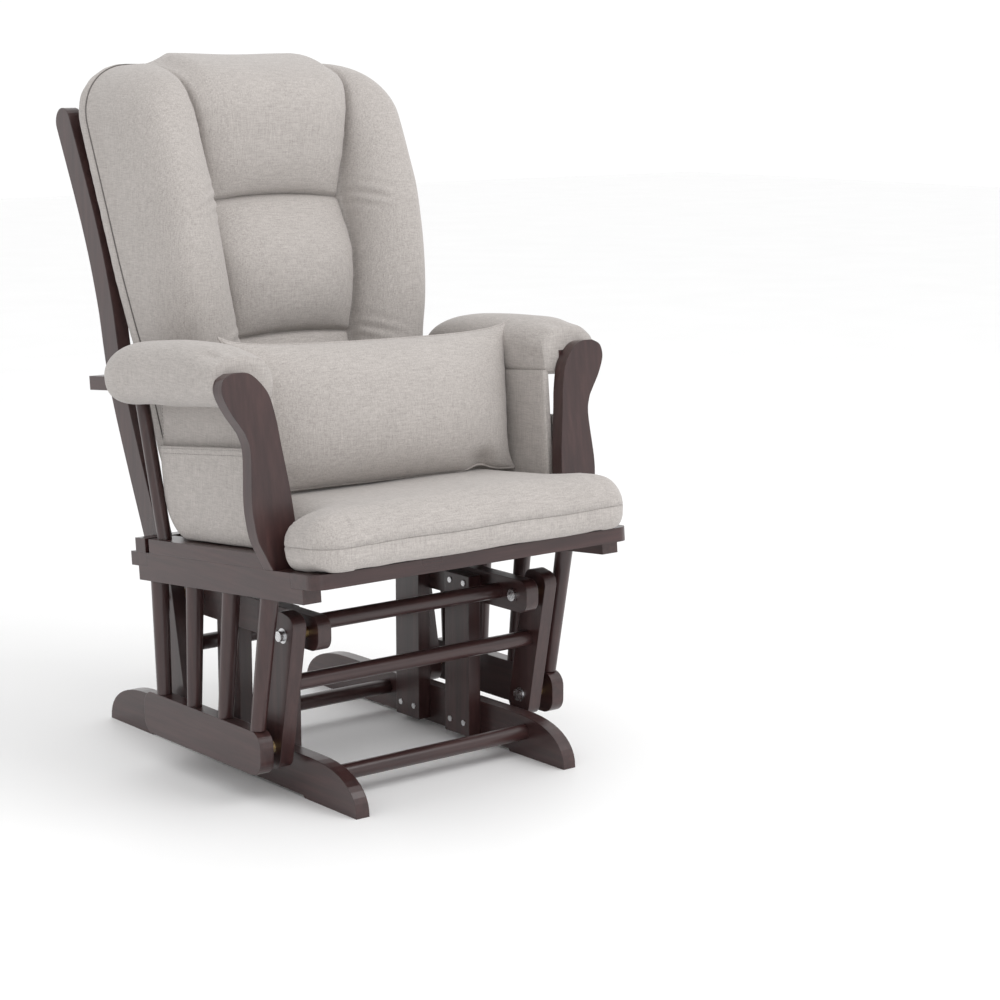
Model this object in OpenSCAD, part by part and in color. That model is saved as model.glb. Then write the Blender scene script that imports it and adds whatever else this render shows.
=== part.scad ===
// Glider nursery chair: a fixed base, two pairs of swing arms and a gliding seat.
// Millimetres. +Z is up, the sitter faces -Y, and +X is the sitter's left.

/* [Base] */
// Length of a foot, toe to toe
foot_len = 680; // [600:5:800]
// Height of a foot
foot_h = 64; // [50:1:80]
// Width of the base over the outer faces of its feet
base_w = 402; // [340:2:500]
// Thickness of the planks that the base, arms and back are cut from
plank_t = 22.4; // [18:0.2:27]
// Width of an upright, front to back
upright_w = 60; // [50:1:72]
// Height of a top bar
bar_h = 50; // [42:1:60]
// Diameter of the dowels between the two sides
dowel_d = 24; // [18:0.5:28]

/* [Glide] */
// Height of the four fixed pivots above the floor
pivot_z = 247; // [225:1:290]
// Distance between the front and the rear fixed pivots
pivot_span = 320; // [270:2:380]
// Pivot to pivot length of a swing arm
arm_len = 172; // [145:1:200]
// Splay of the swing arms at rest, in degrees
arm_splay = 11; // [6:0.5:14]
// Width of a swing arm
arm_w = 50; // [42:1:60]
// Gap at each side of a swing arm
glide_gap = 17; // [13:0.5:21]
// Height of the moving lower rail
rail_h = 64; // [54:1:76]

/* [Seat frame] */
// Height of the top of the seat rails above the fixed pivots
seat_rise = 84; // [70:1:100]
// Backward tilt of the seat, in degrees
seat_tilt = 5; // [3:0.5:7]
// Height of a seat rail
seat_rail_h = 42; // [38:1:50]
// Thickness of a seat rail
seat_rail_t = 29.6; // [26:0.2:34]
// Thickness of the front and rear seat boards
board_t = 21; // [17:0.5:25]
// Distance from the middle of the feet to the front of the seat
seat_front = 368; // [320:1:420]

/* [Arms and back] */
// Height of the arm boards above the seat rails
arm_z = 240; // [200:1:280]
// Height of the back above the seat rails
back_h = 668; // [560:4:780]
// Depth of a back post, front to back
post_w = 43; // [36:1:52]
// Number of back slats
slats = 5; // [3:1:6]
// Diameter of an arm spindle
arm_spindle_d = 21; // [17:0.5:25]

/* [Soft parts] */
// Thickness of the seat cushion
cushion_t = 92; // [76:1:110]
// Thickness of the back cushion
back_t = 142; // [118:1:160]
// Height of the lumbar pillow
pillow_h = 214; // [178:1:250]
// Thickness of the lumbar pillow
pillow_t = 120; // [100:1:136]
// Height of the arm pads above the arm boards
pad_t = 50; // [40:1:60]

/* [Hardware] */
// Diameter of a pivot bolt
bolt_d = 8; // [6:0.5:10]
// Outer diameter of a pivot bearing
bearing_d = 22; // [18:0.5:26]
// Radial clearance of a running pivot
run_gap = 0.05; // [0.02:0.01:0.1]
// Radial play left at the rear lower pivot
slack = 4; // [2.5:0.5:5]

/* [Hidden] */

$fn = 48;
wood = [0.27, 0.17, 0.17];
cloth = [0.78, 0.76, 0.74];
steel = [0.72, 0.72, 0.74];
brass = [0.72, 0.55, 0.30];

// How far the middle of the feet stands behind the origin
mid_y = 11.4;
// Clearance of a glued dowel end in its hole, and how deep it goes
fit_gap = 0.1;
tenon_depth = 14;
tenon_share = 0.7;
bolt_hole_d = bolt_d + 2 * fit_gap;
// Clearance between a soft part and what it rests on
soft_gap = 0.6;

// Sideways layers of the base, from the middle outwards
bar_out = base_w / 2;
bar_in = bar_out - plank_t;
upright_in = bar_in - plank_t;
swing_in = bar_out + glide_gap;
swing_out = swing_in + plank_t;
rail_in = swing_out + glide_gap;
rail_out = rail_in + plank_t;
rail_mid = (rail_in + rail_out) / 2;
// The seat rails stand over the moving lower rails
seat_rail_out = rail_mid + seat_rail_t / 2;
seat_rail_in = rail_mid - seat_rail_t / 2;
seat_w = 2 * seat_rail_out;

// Places along the base, measured from the middle of the feet
pivot_mid = -60;
front_pivot = pivot_mid - pivot_span / 2;
rear_pivot = pivot_mid + pivot_span / 2;
lower_z = pivot_z - arm_len * cos(arm_splay);
front_lower = front_pivot + arm_len * sin(arm_splay);
rear_lower = rear_pivot - arm_len * sin(arm_splay);
end_reach = 32;
bar_dowel_front_y = front_pivot + 40;
bar_dowel_rear_y = rear_pivot - 36;
front_upright_y = bar_dowel_front_y + dowel_d / 2 + 29;
rear_upright_y = bar_dowel_rear_y - dowel_d / 2 - 2 - upright_w;
upright_low = 10;
upright_high = pivot_z + 17;
foot_dowel_front_y = 95 - foot_len / 2;
foot_dowel_rear_y = rear_pivot + 5;
foot_dowel_z = foot_h - 26;
toe_len = 115;
toe_power = 2.3;
pad_len = 128;
relief = 4;
swing_dowel_drop = 77;
swing_top = 33;
swing_foot = 30;
plate_r = 18;

// Heads, nuts and screws
head_d = 18;
head_h = 5;
nut_d = 15;
nut_h = 7;
spacer_d = 16;
side_play = 0.3;
bolt_bite = 16;
screw_d = 4;
screw_head_d = 9;
screw_head_h = 1.6;
screw_len = 34;
screw_step = 17;
upright_screw_drop = 12;
upright_screw_rise = 20;

// Seat frame places, in the tilted seat plane
seat_z = pivot_z + seat_rise;
front_board_d = 60;
rear_board_front = 73;
rear_board_back = 120;
rail_back = 100;
rail_front = -(seat_front - 32);
front_board_back = -(seat_front - front_board_d);
corner_r = 22;
spindle_count = 4;
spindle_foot_d = 22;
spindle_head_d = 27;
spindle_foot_last = rear_lower - 10;
spindle_foot_first = front_lower - 7.4;
spindle_head_last = spindle_foot_last + 6;
spindle_head_first = spindle_foot_first - 40.5;
slat_count = 4;
slat_w = 62;
slat_t = 12;

// Arms, in the seat plane
lower_board_y = 77;
lower_board_w = 28;
panel_t = 13;
panel_in = seat_rail_in - 12;
arm_base_in = panel_in - 2;
arm_base_t = 21;
arm_base_back = lower_board_y - 11;
plank_y = -(seat_front - 100);
plank_lean = 2.3;
plank_foot = 2;
plank_reach = 57.5;
arm_base_front = plank_back(arm_base_t);
plank_h = arm_z + 34;
arm_board_t = arm_base_t;
arm_board_out = seat_rail_in + 50;
arm_board_in = seat_rail_in + 8;
arm_board_overhang = 9;
arm_spindle_foot_y = arm_base_back - 22;
arm_spindle_head_y = arm_spindle_foot_y + 0.19 * (arm_z - arm_base_t);
arm_spindle_x = seat_rail_in + 14;
panel_front = arm_base_front + 12;
panel_back = arm_spindle_foot_y - 2;
pocket_t = 3;
pocket_room = 8;
pocket_h = 140;

// Back, in the seat plane: the middle line of a post from foot to head
post_in = seat_rail_in - plank_t;
post_foot_y = lower_board_y + 24;
post_line = [
  [post_foot_y, 0],
  [post_foot_y + 75, 0.349 * back_h],
  [post_foot_y + 98, 0.561 * back_h],
  [post_foot_y + 128, 0.735 * back_h],
  [post_foot_y + 185, back_h - post_w / 2]
];
arm_board_back = post_y(arm_z) + post_w / 2 + arm_board_overhang;
slat_line = -11;
top_rail_h = 70;
top_rail_t = 20;
top_rail_drop = 24;
back_slat_w = 44;
back_slat_t = 12;

// Cushions, in the seat plane
cushion_front = -(seat_front + 19);
cushion_back = 62;
cushion_ear = plank_y - 4;
inner_half = panel_in - 5;
ear_half = seat_rail_out - 6;
back_gap = 6;
back_half = seat_rail_in - 3.8;
back_rise = 71;
back_foot = cushion_t + 2;
// Thickness of the back cushion along its height, as a share of its greatest thickness
back_swell = [
  [back_foot, 0.75], [0.33 * back_h, 1], [0.52 * back_h, 0.79], [0.70 * back_h, 1], [back_h, 1]
];
pillow_half = inner_half - 2;
pillow_lean = 7;
pillow_foot_y = -78;
pad_in = seat_rail_in - 4;
pad_out = seat_rail_out + plank_reach + 2;
pad_r = 34;
pad_hang = 18;
pad_back = arm_spindle_head_y - 10;

// Points of an arc
function arc(c, r, a0, a1, n = 8) =
  [for (i = [0:n]) c + r * [cos(a0 + (a1 - a0) * i / n), sin(a0 + (a1 - a0) * i / n)]];

// Rectangle with rounded corners
function rounded(x0, x1, y0, y1, r) = concat(
  arc([x1 - r, y1 - r], r, 0, 90),
  arc([x0 + r, y1 - r], r, 90, 180),
  arc([x0 + r, y0 + r], r, 180, 270),
  arc([x1 - r, y0 + r], r, 270, 360)
);

// One stretch of a smooth curve from b to c, with neighbours a and d
function bend(a, b, c, d, t) = 0.5 * (
  2 * b + (c - a) * t + (2 * a - 5 * b + 4 * c - d) * t * t + (3 * b - a - 3 * c + d) * t * t * t
);

// Smooth open curve through its points
function smooth(p, n = 6) = concat(
  [for (i = [0:len(p) - 2], k = [0:n - 1])
    bend(p[max(i - 1, 0)], p[i], p[i + 1], p[min(i + 2, len(p) - 1)], k / n)],
  [p[len(p) - 1]]
);

// A line moved sideways by d
function beside(p, d) = [for (i = [0:len(p) - 1])
  let (t = p[min(i + 1, len(p) - 1)] - p[max(i - 1, 0)])
  p[i] + d * [t[1], -t[0]] / norm(t)];

function reversed(p) = [for (i = [len(p) - 1:-1:0]) p[i]];

// Band between two lines that run beside a third
function band(p, d0, d1) = concat(beside(p, d0), reversed(beside(p, d1)));

// Place on the middle line of a post at height z
function post_y(z) = lookup(z, [for (q = smooth(post_line)) [q[1], q[0]]]);

module in_base() {
  translate([0, mid_y, 0]) children();
}

module in_seat() {
  translate([0, mid_y, seat_z]) rotate([-seat_tilt, 0, 0]) children();
}

// Draws its children on the left side, or mirrored on the right side
module on_side(s) {
  mirror([s < 0 ? 1 : 0, 0, 0]) children();
}

// Plate that lies in a side plane, from a profile drawn in Y and Z
module side_plate(x0, t) {
  translate([x0, 0, 0]) rotate([90, 0, 90]) linear_extrude(t) children();
}

// Round bar along X
module cross_bar(x0, x1, d) {
  translate([x0, 0, 0]) rotate([0, 90, 0]) cylinder(d = d, h = x1 - x0);
}

// Round tapered bar between two places in a side plane
module strut(p, q, d0, d1) {
  translate([0, p[0], p[1]])
    rotate([-atan2(q[0] - p[0], q[1] - p[1]), 0, 0])
      cylinder(d1 = d0, d2 = d1, h = norm(q - p));
}

// Dowel across the chair with a turned end in each side
module dowel(half, d) {
  cross_bar(-half, half, d);
  for (s = [-1, 1]) on_side(s) cross_bar(half, half + tenon_depth, tenon_share * d);
}

module dowel_hole(x0) {
  cross_bar(x0 - 1, x0 + tenon_depth + fit_gap, tenon_share * dowel_d + 2 * fit_gap);
}

// Base

function toe(side) = [for (i = [0:12])
  let (a = 90 * i / 12)
  [side * (foot_len / 2 - toe_len + toe_len * pow(sin(a), 2 / toe_power)),
   foot_h * pow(cos(a), 2 / toe_power)]];

module foot() {
  color(wood) in_base() difference() {
    side_plate(bar_in, plank_t) polygon(concat(
      toe(1),
      [[foot_len / 2 - pad_len, 0], [foot_len / 2 - pad_len - relief, relief],
       [pad_len + relief - foot_len / 2, relief], [pad_len - foot_len / 2, 0]],
      reversed(toe(-1))
    ));
    translate([0, foot_dowel_front_y, foot_dowel_z]) dowel_hole(bar_in);
    translate([0, foot_dowel_rear_y, foot_dowel_z]) dowel_hole(bar_in);
    upright_screw_holes();
  }
}

module upright(y0) {
  color(wood) in_base() difference() {
    translate([upright_in, y0, upright_low])
      cube([plank_t, upright_w, upright_high - upright_low]);
    upright_screw_holes();
  }
}

module top_bar() {
  color(wood) in_base() difference() {
    side_plate(bar_in, plank_t) polygon(rounded(
      front_pivot - end_reach, rear_pivot + end_reach,
      pivot_z - bar_h / 2, pivot_z + bar_h / 2, plate_r
    ));
    for (y = [front_pivot, rear_pivot])
      translate([0, y, pivot_z]) cross_bar(bar_in - 1, bar_out + 1, bolt_hole_d);
    for (y = [bar_dowel_front_y, bar_dowel_rear_y])
      translate([0, y, pivot_z]) dowel_hole(bar_in);
    upright_screw_holes();
  }
}

module bar_dowel(y) {
  color(wood) in_base() translate([0, y, pivot_z]) dowel(bar_in, dowel_d);
}

module foot_dowel(y) {
  color(wood) in_base() translate([0, y, foot_dowel_z]) dowel(bar_in, dowel_d);
}

// Screw places on one side: two near the top and two near the foot of each upright
function screw_places() = [
  for (y = [front_upright_y, rear_upright_y], s = [-0.5, 0.5],
       z = [upright_high - upright_screw_drop, upright_low + upright_screw_rise])
    [y + upright_w / 2 + s * 2 * screw_step, z]
];

module upright_screw_holes() {
  for (p = screw_places())
    translate([0, p[0], p[1]]) cross_bar(upright_in - 1, upright_in + screw_len, screw_d);
}

module upright_screws() {
  color(steel) in_base()
    for (s = [-1, 1], p = screw_places()) on_side(s) translate([0, p[0], p[1]]) {
      cross_bar(upright_in, upright_in + screw_len, screw_d);
      cross_bar(upright_in - screw_head_h, upright_in, screw_head_d);
    }
}

// Fixed pivots

module top_pivot_bolts() {
  color(steel) in_base()
    for (s = [-1, 1], y = [front_pivot, rear_pivot]) on_side(s) translate([0, y, pivot_z]) {
      cross_bar(bar_in, swing_out + side_play + nut_h, bolt_d);
      cross_bar(bar_in - head_h, bar_in, head_d);
      cross_bar(swing_out + side_play, swing_out + side_play + nut_h, nut_d);
    }
}

module spacer(x0, x1) {
  difference() {
    cross_bar(x0, x1, spacer_d);
    cross_bar(x0 - 1, x1 + 1, bolt_hole_d);
  }
}

module top_pivot_spacers() {
  color(brass) in_base()
    for (s = [-1, 1], y = [front_pivot, rear_pivot])
      on_side(s) translate([0, y, pivot_z]) spacer(bar_out, swing_in - side_play);
}

// Swing arms. A positive lean carries the lower end backwards.

module swing_arm(y, lean) {
  color(wood) in_base() translate([0, y, pivot_z]) rotate([lean, 0, 0]) difference() {
    side_plate(swing_in, plank_t)
      polygon(rounded(-arm_w / 2, arm_w / 2, -arm_len - swing_foot, swing_top, plate_r));
    for (z = [0, -arm_len])
      translate([0, 0, z]) cross_bar(swing_in - 1, swing_out + 1, bearing_d);
    translate([0, 0, -swing_dowel_drop]) dowel_hole(swing_in);
  }
}

module swing_dowel(y, lean) {
  color(wood) in_base() translate([0, y, pivot_z]) rotate([lean, 0, 0])
    translate([0, 0, -swing_dowel_drop]) dowel(swing_in, dowel_d);
}

// Bearing with a radial gap round its bolt
module bearing(gap) {
  difference() {
    cross_bar(swing_in, swing_out, bearing_d);
    cross_bar(swing_in - 1, swing_out + 1, bolt_d + 2 * gap);
  }
}

module arm_bearings(y, lean, lower_gap) {
  color(steel) in_base() for (s = [-1, 1]) on_side(s)
    translate([0, y, pivot_z]) rotate([lean, 0, 0]) {
      bearing(run_gap);
      translate([0, 0, -arm_len]) bearing(lower_gap);
    }
}

// Gliding frame below the seat

module glide_rail() {
  color(wood) in_base() difference() {
    side_plate(rail_in, plank_t) polygon(rounded(
      front_lower - end_reach, rear_lower + end_reach,
      lower_z - rail_h / 2, lower_z + rail_h / 2, plate_r + 4
    ));
    for (y = [front_lower, rear_lower])
      translate([0, y, lower_z]) cross_bar(rail_in - 1, rail_in + bolt_bite, bolt_hole_d);
  }
}

module lower_pivot_bolts() {
  color(steel) in_base()
    for (s = [-1, 1], y = [front_lower, rear_lower]) on_side(s) translate([0, y, lower_z]) {
      cross_bar(swing_in - side_play, rail_in + bolt_bite, bolt_d);
      cross_bar(swing_in - side_play - head_h, swing_in - side_play, head_d);
    }
}

module lower_pivot_spacers() {
  color(brass) in_base()
    for (s = [-1, 1], y = [front_lower, rear_lower])
      on_side(s) translate([0, y, lower_z]) spacer(swing_out + side_play, rail_in);
}

// Height of the underside of a seat rail at y
function rail_under(y) = seat_z - y * tan(seat_tilt) - seat_rail_h / cos(seat_tilt);

module side_spindles() {
  over = 12;
  color(wood) difference() {
    in_base() translate([rail_mid, 0, 0]) for (i = [0:spindle_count - 1]) {
      share = i / (spindle_count - 1);
      foot_y = spindle_foot_last + share * (spindle_foot_first - spindle_foot_last);
      head_y = spindle_head_last + share * (spindle_head_first - spindle_head_last);
      strut([foot_y, lower_z + rail_h / 2 - over], [head_y, rail_under(head_y) + over],
            spindle_foot_d, spindle_head_d);
    }
    in_base() translate([0, -seat_front, lower_z + rail_h / 2 - 2 * over])
      cube([seat_w, 2 * seat_front, 2 * over]);
    in_seat() translate([0, -seat_front, -seat_rail_h]) cube([seat_w, 2 * seat_front, 3 * over]);
  }
}

// Seat frame

module seat_rail() {
  color(wood) in_seat() difference() {
    side_plate(seat_rail_in, seat_rail_t) polygon([
      [rail_front, -seat_rail_h], [rail_back, -seat_rail_h], [rail_back, -board_t],
      [rear_board_front, -board_t], [rear_board_front, 0], [front_board_back, 0],
      [front_board_back, -board_t], [rail_front, -board_t]
    ]);
    slat_slots();
  }
}

module seat_front_board() {
  half = seat_rail_out;
  color(wood) in_seat() translate([0, 0, -board_t]) linear_extrude(board_t) polygon(concat(
    [[half, front_board_back], [-half, front_board_back]],
    arc([corner_r - half, corner_r - seat_front], corner_r, 180, 270),
    arc([half - corner_r, corner_r - seat_front], corner_r, 270, 360)
  ));
}

module seat_rear_board() {
  color(wood) in_seat() translate([-seat_rail_out, rear_board_front, -board_t])
    cube([seat_w, rear_board_back - rear_board_front, board_t]);
}

// Front edge of slat i
function slat_y(i) = front_board_back + 20
  + i * (rear_board_front - front_board_back - 40 - slat_w) / (slat_count - 1);

module slat_slots() {
  for (i = [0:slat_count - 1])
    translate([seat_rail_in - 1, slat_y(i) - fit_gap, -slat_t - fit_gap])
      cube([slat_t + 1, slat_w + 2 * fit_gap, slat_t + 1]);
}

module seat_slats() {
  half = seat_rail_in + slat_t - fit_gap;
  color(wood) in_seat() for (i = [0:slat_count - 1])
    translate([-half, slat_y(i), -slat_t]) cube([2 * half, slat_w, slat_t]);
}

// Arms

module arm_base() {
  color(wood) in_seat() difference() {
    translate([arm_base_in, arm_base_front, 0])
      cube([seat_rail_out - arm_base_in, arm_base_back - arm_base_front, arm_base_t]);
    translate([arm_spindle_x, arm_spindle_foot_y, arm_base_t - 10])
      cylinder(d = tenon_share * arm_spindle_d + 2 * fit_gap, h = 12);
  }
}

// Outline of an arm plank: distance outwards from the seat rail's outer face, then height
plank_outer = [
  [0, -plank_foot], [11, 0.08 * plank_h], [20, 0.155 * plank_h], [24, 0.25 * plank_h],
  [25, 0.36 * plank_h], [20, 0.59 * plank_h], [24.5, 0.68 * plank_h], [33, 0.735 * plank_h],
  [45, 0.8 * plank_h], [54.5, 0.87 * plank_h], [plank_reach, 0.92 * plank_h],
  [53, 0.972 * plank_h], [39, plank_h]
];
plank_inner = [
  [39, plank_h], [20.5, plank_h], [7, 0.982 * plank_h], [-8.5, 0.927 * plank_h],
  [-18.5, 0.865 * plank_h], [-26, 0.745 * plank_h], [-29.5, 0.64 * plank_h],
  [-35.5, 0.48 * plank_h], [-38.5, 0.39 * plank_h], [-42, 0.22 * plank_h], [-43, -plank_foot]
];

module arm_plank() {
  color(wood) in_seat() difference() {
    translate([seat_rail_out, plank_y, 0]) rotate([-plank_lean, 0, 0])
      translate([0, plank_t, 0]) rotate([90, 0, 0]) linear_extrude(plank_t)
        polygon(concat(smooth(plank_outer), smooth(plank_inner)));
    translate([0, -seat_front, -seat_rail_h]) cube([seat_w, seat_front, seat_rail_h]);
  }
}

// Y of the back face of an arm plank at height z above the seat rails
function plank_back(z) = plank_y + plank_t / cos(plank_lean) + z * tan(plank_lean);

module arm_board_shape() {
  front = plank_back(arm_z + arm_board_t);
  polygon([
    [arm_board_in + 12, front], [arm_board_out, front], [arm_board_out, pad_back - 30],
    [seat_rail_out, pad_back - 14], [seat_rail_out, arm_board_back],
    [seat_rail_in, arm_board_back], [seat_rail_in, pad_back], [arm_board_in, pad_back - 8],
    [arm_board_in, front + 24]
  ]);
}

module arm_board() {
  color(wood) in_seat() translate([0, 0, arm_z]) linear_extrude(arm_board_t) arm_board_shape();
}

module arm_spindle() {
  shoulder_z = arm_base_t;
  color(wood) in_seat() {
    difference() {
      translate([arm_spindle_x, 0, 0])
        strut([arm_spindle_foot_y - 2, shoulder_z - 15], [arm_spindle_head_y + 2, arm_z + 15],
              arm_spindle_d, arm_spindle_d);
      translate([0, -seat_front, shoulder_z - 60]) cube([seat_w, 2 * seat_front, 60]);
      translate([0, -seat_front, arm_z]) cube([seat_w, 2 * seat_front, 60]);
    }
    translate([arm_spindle_x, arm_spindle_foot_y, shoulder_z - 9])
      cylinder(d = tenon_share * arm_spindle_d, h = 10);
  }
}

// Back

module back_post() {
  line = smooth(post_line);
  head = line[len(line) - 1];
  last = head - line[len(line) - 2];
  head_turn = atan2(last[1], last[0]);
  color(wood) in_seat() difference() {
    side_plate(post_in, plank_t) polygon(concat(
      beside(line, -post_w / 2),
      arc(head, post_w / 2, head_turn + 90, head_turn - 90, 12),
      reversed(beside(line, post_w / 2))
    ));
    translate([0, 0, -post_w]) cube([seat_w, seat_front, post_w]);
    translate([0, 0, -1]) cube([seat_w, lower_board_y + lower_board_w + fit_gap, arm_base_t + 1]);
    bolt_holes();
  }
}

module back_lower_board() {
  color(wood) in_seat() translate([-seat_rail_out, lower_board_y, 0])
    cube([seat_w, lower_board_w, arm_base_t]);
}

// Part of the post line between two heights
function line_between(z0, z1) = concat(
  [[post_y(z0), z0]],
  [for (q = smooth(post_line)) if (q[1] > z0 + 1 && q[1] < z1 - 1) q],
  [[post_y(z1), z1]]
);

// Board of thickness t that runs along the slat line between two heights
function slat_band(z0, z1, t) = band(line_between(z0, z1), slat_line - t / 2, slat_line + t / 2);

module back_top_rail() {
  z1 = back_h - top_rail_drop;
  color(wood) in_seat() side_plate(-post_in, 2 * post_in)
    polygon(slat_band(z1 - top_rail_h, z1, top_rail_t));
}

module back_slats() {
  z1 = back_h - top_rail_drop - top_rail_h;
  pitch = 2 * post_in / (slats + 0.2);
  color(wood) in_seat() difference() {
    for (i = [0:slats - 1])
      translate([(i - (slats - 1) / 2) * pitch - back_slat_w / 2, 0, 0])
        side_plate(0, back_slat_w) polygon(slat_band(arm_base_t, z1 + 8, back_slat_t));
    translate([-seat_w / 2, 0, arm_base_t - 40]) cube([seat_w, seat_front, 40]);
    side_plate(-seat_w / 2, seat_w) polygon(slat_band(z1, z1 + top_rail_h, top_rail_t + 2));
  }
}

// Bolts that hold the posts to the arm boards
bolt_places = [[post_y(arm_z) + 2, arm_z + arm_board_t / 2]];

module bolt_holes() {
  for (p = bolt_places) translate([0, p[0], p[1]]) cross_bar(post_in - 1, seat_rail_in + 1, bolt_d);
}

module frame_bolts() {
  color(steel) in_seat() for (s = [-1, 1], p = bolt_places) on_side(s)
    translate([0, p[0], p[1]]) {
      cross_bar(post_in, seat_rail_in, bolt_d);
      cross_bar(post_in - head_h, post_in, head_d);
    }
}

// Soft parts, as plain closed solids

module seat_cushion() {
  color(cloth) in_seat() translate([0, 0, soft_gap]) linear_extrude(cushion_t) union() {
    polygon(rounded(-inner_half, inner_half, cushion_front + 40, cushion_back, 25));
    polygon(rounded(-ear_half, ear_half, cushion_front, cushion_ear, 36));
  }
}

module back_cushion() {
  top = back_h + back_rise;
  line = line_between(back_foot, back_h - post_w / 2);
  rear = -post_w / 2 - back_gap;
  head = [post_y(back_h) + rear, back_h];
  color(cloth) in_seat() intersection() {
    side_plate(-back_half, 2 * back_half) polygon(concat(
      [for (i = [0:len(line) - 1])
        beside(line, rear - back_t * lookup(line[i][1], back_swell))[i]],
      [[head[0] - 0.9 * back_t, top - 30], [head[0] - 0.5 * back_t, top], [head[0] - 20, top - 8],
       [head[0] + 4, top - 40]],
      reversed(beside(line, rear))
    ));
    translate([0, seat_front, 0]) rotate([90, 0, 0]) linear_extrude(2 * seat_front) union() {
      polygon(rounded(-inner_half, inner_half, back_foot, back_h, 20));
      polygon(rounded(-back_half, back_half, arm_z + arm_board_t + pad_t + 12, top, 70));
    }
  }
}

module arm_pad() {
  front = plank_back(arm_z + arm_board_t + pad_t) + soft_gap;
  color(cloth) in_seat() difference() {
    translate([0, pad_back, arm_z + arm_board_t / 2]) rotate([90, 0, 0])
      linear_extrude(pad_back - front)
        polygon(rounded(pad_in, pad_out, -arm_board_t / 2 - pad_hang, arm_board_t / 2 + pad_t, pad_r));
    translate([0, 0, arm_z - soft_gap]) linear_extrude(arm_board_t + 2 * soft_gap)
      offset(delta = soft_gap) arm_board_shape();
    translate([0, 0, arm_z - pad_t]) linear_extrude(pad_t)
      translate([arm_spindle_x - arm_spindle_d, arm_spindle_head_y - arm_spindle_d])
        square([2 * arm_spindle_d, seat_front]);
  }
}

module arm_panel() {
  top = arm_z - pad_hang - soft_gap;
  color(cloth) in_seat() side_plate(panel_in, panel_t) polygon(concat(
    [[panel_front, arm_base_t + soft_gap]],
    arc([panel_back - 42, arm_base_t + soft_gap + 40], 40, 270, 350),
    [[panel_back + 8, 0.68 * arm_z], [panel_back + 4, top], [panel_front + 4, top]]
  ));
}

module pocket_outline(inset) {
  low = arm_base_t + soft_gap;
  polygon([
    [panel_front + inset, low + inset], [panel_back - 34 - inset, low + inset],
    [panel_back - 4 - inset, low + 36], [panel_back + 6 - inset, low + pocket_h + inset],
    [panel_front + inset, low + pocket_h + inset]
  ]);
}

module side_pocket() {
  x0 = panel_in + panel_t;
  color(cloth) in_seat() difference() {
    side_plate(x0, pocket_room + pocket_t) pocket_outline(0);
    side_plate(x0 - 1, pocket_room + 1) pocket_outline(5);
  }
}

module lumbar_pillow() {
  color(cloth) in_seat()
    translate([0, pillow_foot_y, cushion_t + 2 * soft_gap + 1])
      rotate([-pillow_lean, 0, 0])
        side_plate(-pillow_half, 2 * pillow_half)
          polygon(rounded(-pillow_t, 0, 0, pillow_h, 30));
}

on_side(1) foot();  // foot_left
on_side(-1) foot();  // foot_right
on_side(1) upright(front_upright_y);  // upright_front_left
on_side(-1) upright(front_upright_y);  // upright_front_right
on_side(1) upright(rear_upright_y);  // upright_rear_left
on_side(-1) upright(rear_upright_y);  // upright_rear_right
on_side(1) top_bar();  // top_bar_left
on_side(-1) top_bar();  // top_bar_right
bar_dowel(bar_dowel_front_y);  // bar_dowel_front
bar_dowel(bar_dowel_rear_y);  // bar_dowel_rear
foot_dowel(foot_dowel_front_y);  // foot_dowel_front
foot_dowel(foot_dowel_rear_y);  // foot_dowel_rear
upright_screws();
top_pivot_bolts();
top_pivot_spacers();
on_side(1) swing_arm(front_pivot, arm_splay);  // front_swing_arm_left
on_side(-1) swing_arm(front_pivot, arm_splay);  // front_swing_arm_right
swing_dowel(front_pivot, arm_splay);  // front_swing_dowel
arm_bearings(front_pivot, arm_splay, run_gap);  // front_arm_bearings
on_side(1) swing_arm(rear_pivot, -arm_splay);  // rear_swing_arm_left
on_side(-1) swing_arm(rear_pivot, -arm_splay);  // rear_swing_arm_right
swing_dowel(rear_pivot, -arm_splay);  // rear_swing_dowel
arm_bearings(rear_pivot, -arm_splay, slack);  // rear_arm_bearings
on_side(1) glide_rail();  // glide_rail_left
on_side(-1) glide_rail();  // glide_rail_right
on_side(1) side_spindles();  // side_spindles_left
on_side(-1) side_spindles();  // side_spindles_right
lower_pivot_bolts();
lower_pivot_spacers();
on_side(1) seat_rail();  // seat_rail_left
on_side(-1) seat_rail();  // seat_rail_right
seat_front_board();
seat_rear_board();
seat_slats();
on_side(1) arm_base();  // arm_base_left
on_side(-1) arm_base();  // arm_base_right
on_side(1) arm_plank();  // arm_plank_left
on_side(-1) arm_plank();  // arm_plank_right
on_side(1) arm_board();  // arm_board_left
on_side(-1) arm_board();  // arm_board_right
on_side(1) arm_spindle();  // arm_spindle_left
on_side(-1) arm_spindle();  // arm_spindle_right
on_side(1) back_post();  // back_post_left
on_side(-1) back_post();  // back_post_right
back_lower_board();
back_top_rail();
back_slats();
frame_bolts();
seat_cushion();
back_cushion();
on_side(1) arm_pad();  // arm_pad_left
on_side(-1) arm_pad();  // arm_pad_right
on_side(1) arm_panel();  // arm_panel_left
on_side(-1) arm_panel();  // arm_panel_right
on_side(1) side_pocket();  // side_pocket_left
on_side(-1) side_pocket();  // side_pocket_right
lumbar_pillow();
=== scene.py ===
import math

import bmesh
import bpy
import numpy as np
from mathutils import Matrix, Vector, noise


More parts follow.
